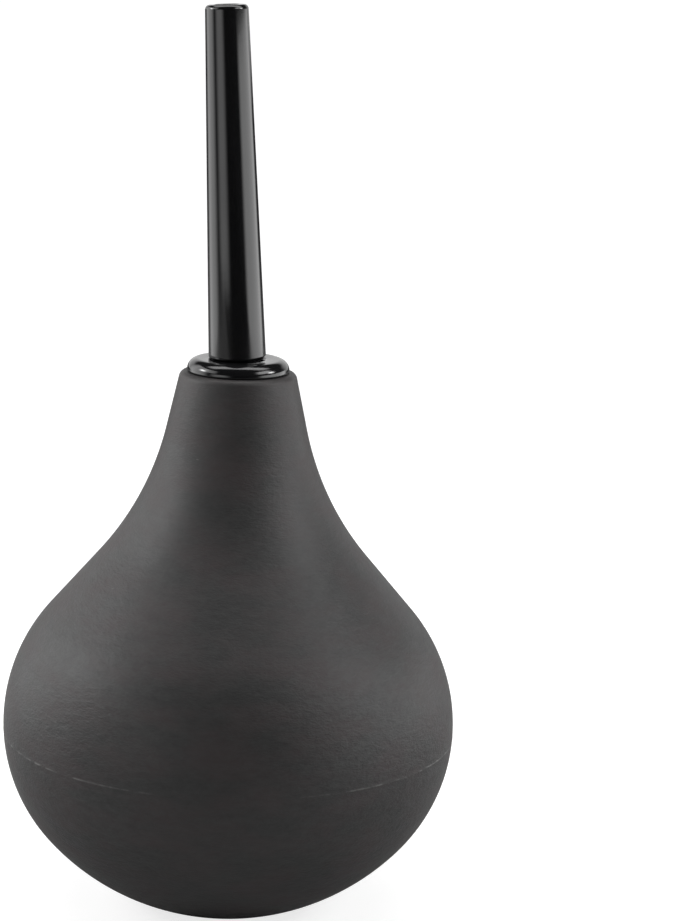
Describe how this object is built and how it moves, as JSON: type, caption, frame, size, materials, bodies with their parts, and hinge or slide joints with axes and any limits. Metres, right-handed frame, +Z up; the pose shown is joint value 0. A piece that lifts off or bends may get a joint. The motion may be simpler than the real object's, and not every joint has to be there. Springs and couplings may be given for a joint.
{
  "type": "dust blower bulb",
  "caption": "Soft teardrop squeeze bulb with a long rigid tapered nozzle in its neck and a one-way air inlet in its base, for blowing dust off small work.",
  "frame": {"origin": "centre of the flat ring that the bulb stands on", "axes": "+Z up the bulb's axis towards the nozzle; the nozzle leans about 3 degrees towards -X"},
  "size_m": [0.0836, 0.0836, 0.1657],
  "materials": {
    "bulb_rubber": "matte, very fine moulded grain, faint pale parting line",
    "gloss_black": "high gloss, polished",
    "seal_rubber": "smooth",
    "inlet_plastic": "fine satin moulding",
    "disc_silicone": "smooth translucent grey silicone"
  },
  "bodies": {
    "bulb": {"bulb": "bulb_rubber"},
    "base_valve": {"valve_seat": "inlet_plastic", "valve_cage": "inlet_plastic"},
    "disc": {"valve_disc": "disc_silicone"},
    "plug": {"neck_plug": "gloss_black"},
    "seal": {"nozzle_o_ring": "seal_rubber"},
    "nozzle": {"nozzle_tube": "gloss_black"}
  },
  "joints": [
    {"name": "squeeze", "type": "slide", "parent": "bulb", "child": "base_valve", "axis": [0, 0, 1], "range_m": [0, 0.025], "stiffness_N_per_m": 1200, "deforming": ["bulb"]},
    {"name": "valve_lift", "type": "slide", "parent": "base_valve", "child": "disc", "axis": [0, 0, 1], "range_m": [0, 0.0012]},
    {"name": "plug_pull", "type": "slide", "parent": "bulb", "child": "plug", "axis": [0, 0, 1], "range_m": [0, 0.024]},
    {"name": "nozzle_pull", "type": "slide", "parent": "plug", "child": "seal", "axis": [0, 0, 1], "range_m": [0, 0.014]},
    {"name": "nozzle_spin", "type": "hinge", "parent": "seal", "child": "nozzle", "pos_m": [0, 0, 0.098], "axis": [-0.0558, 0, 0.9984], "continuous": true}
  ]
}
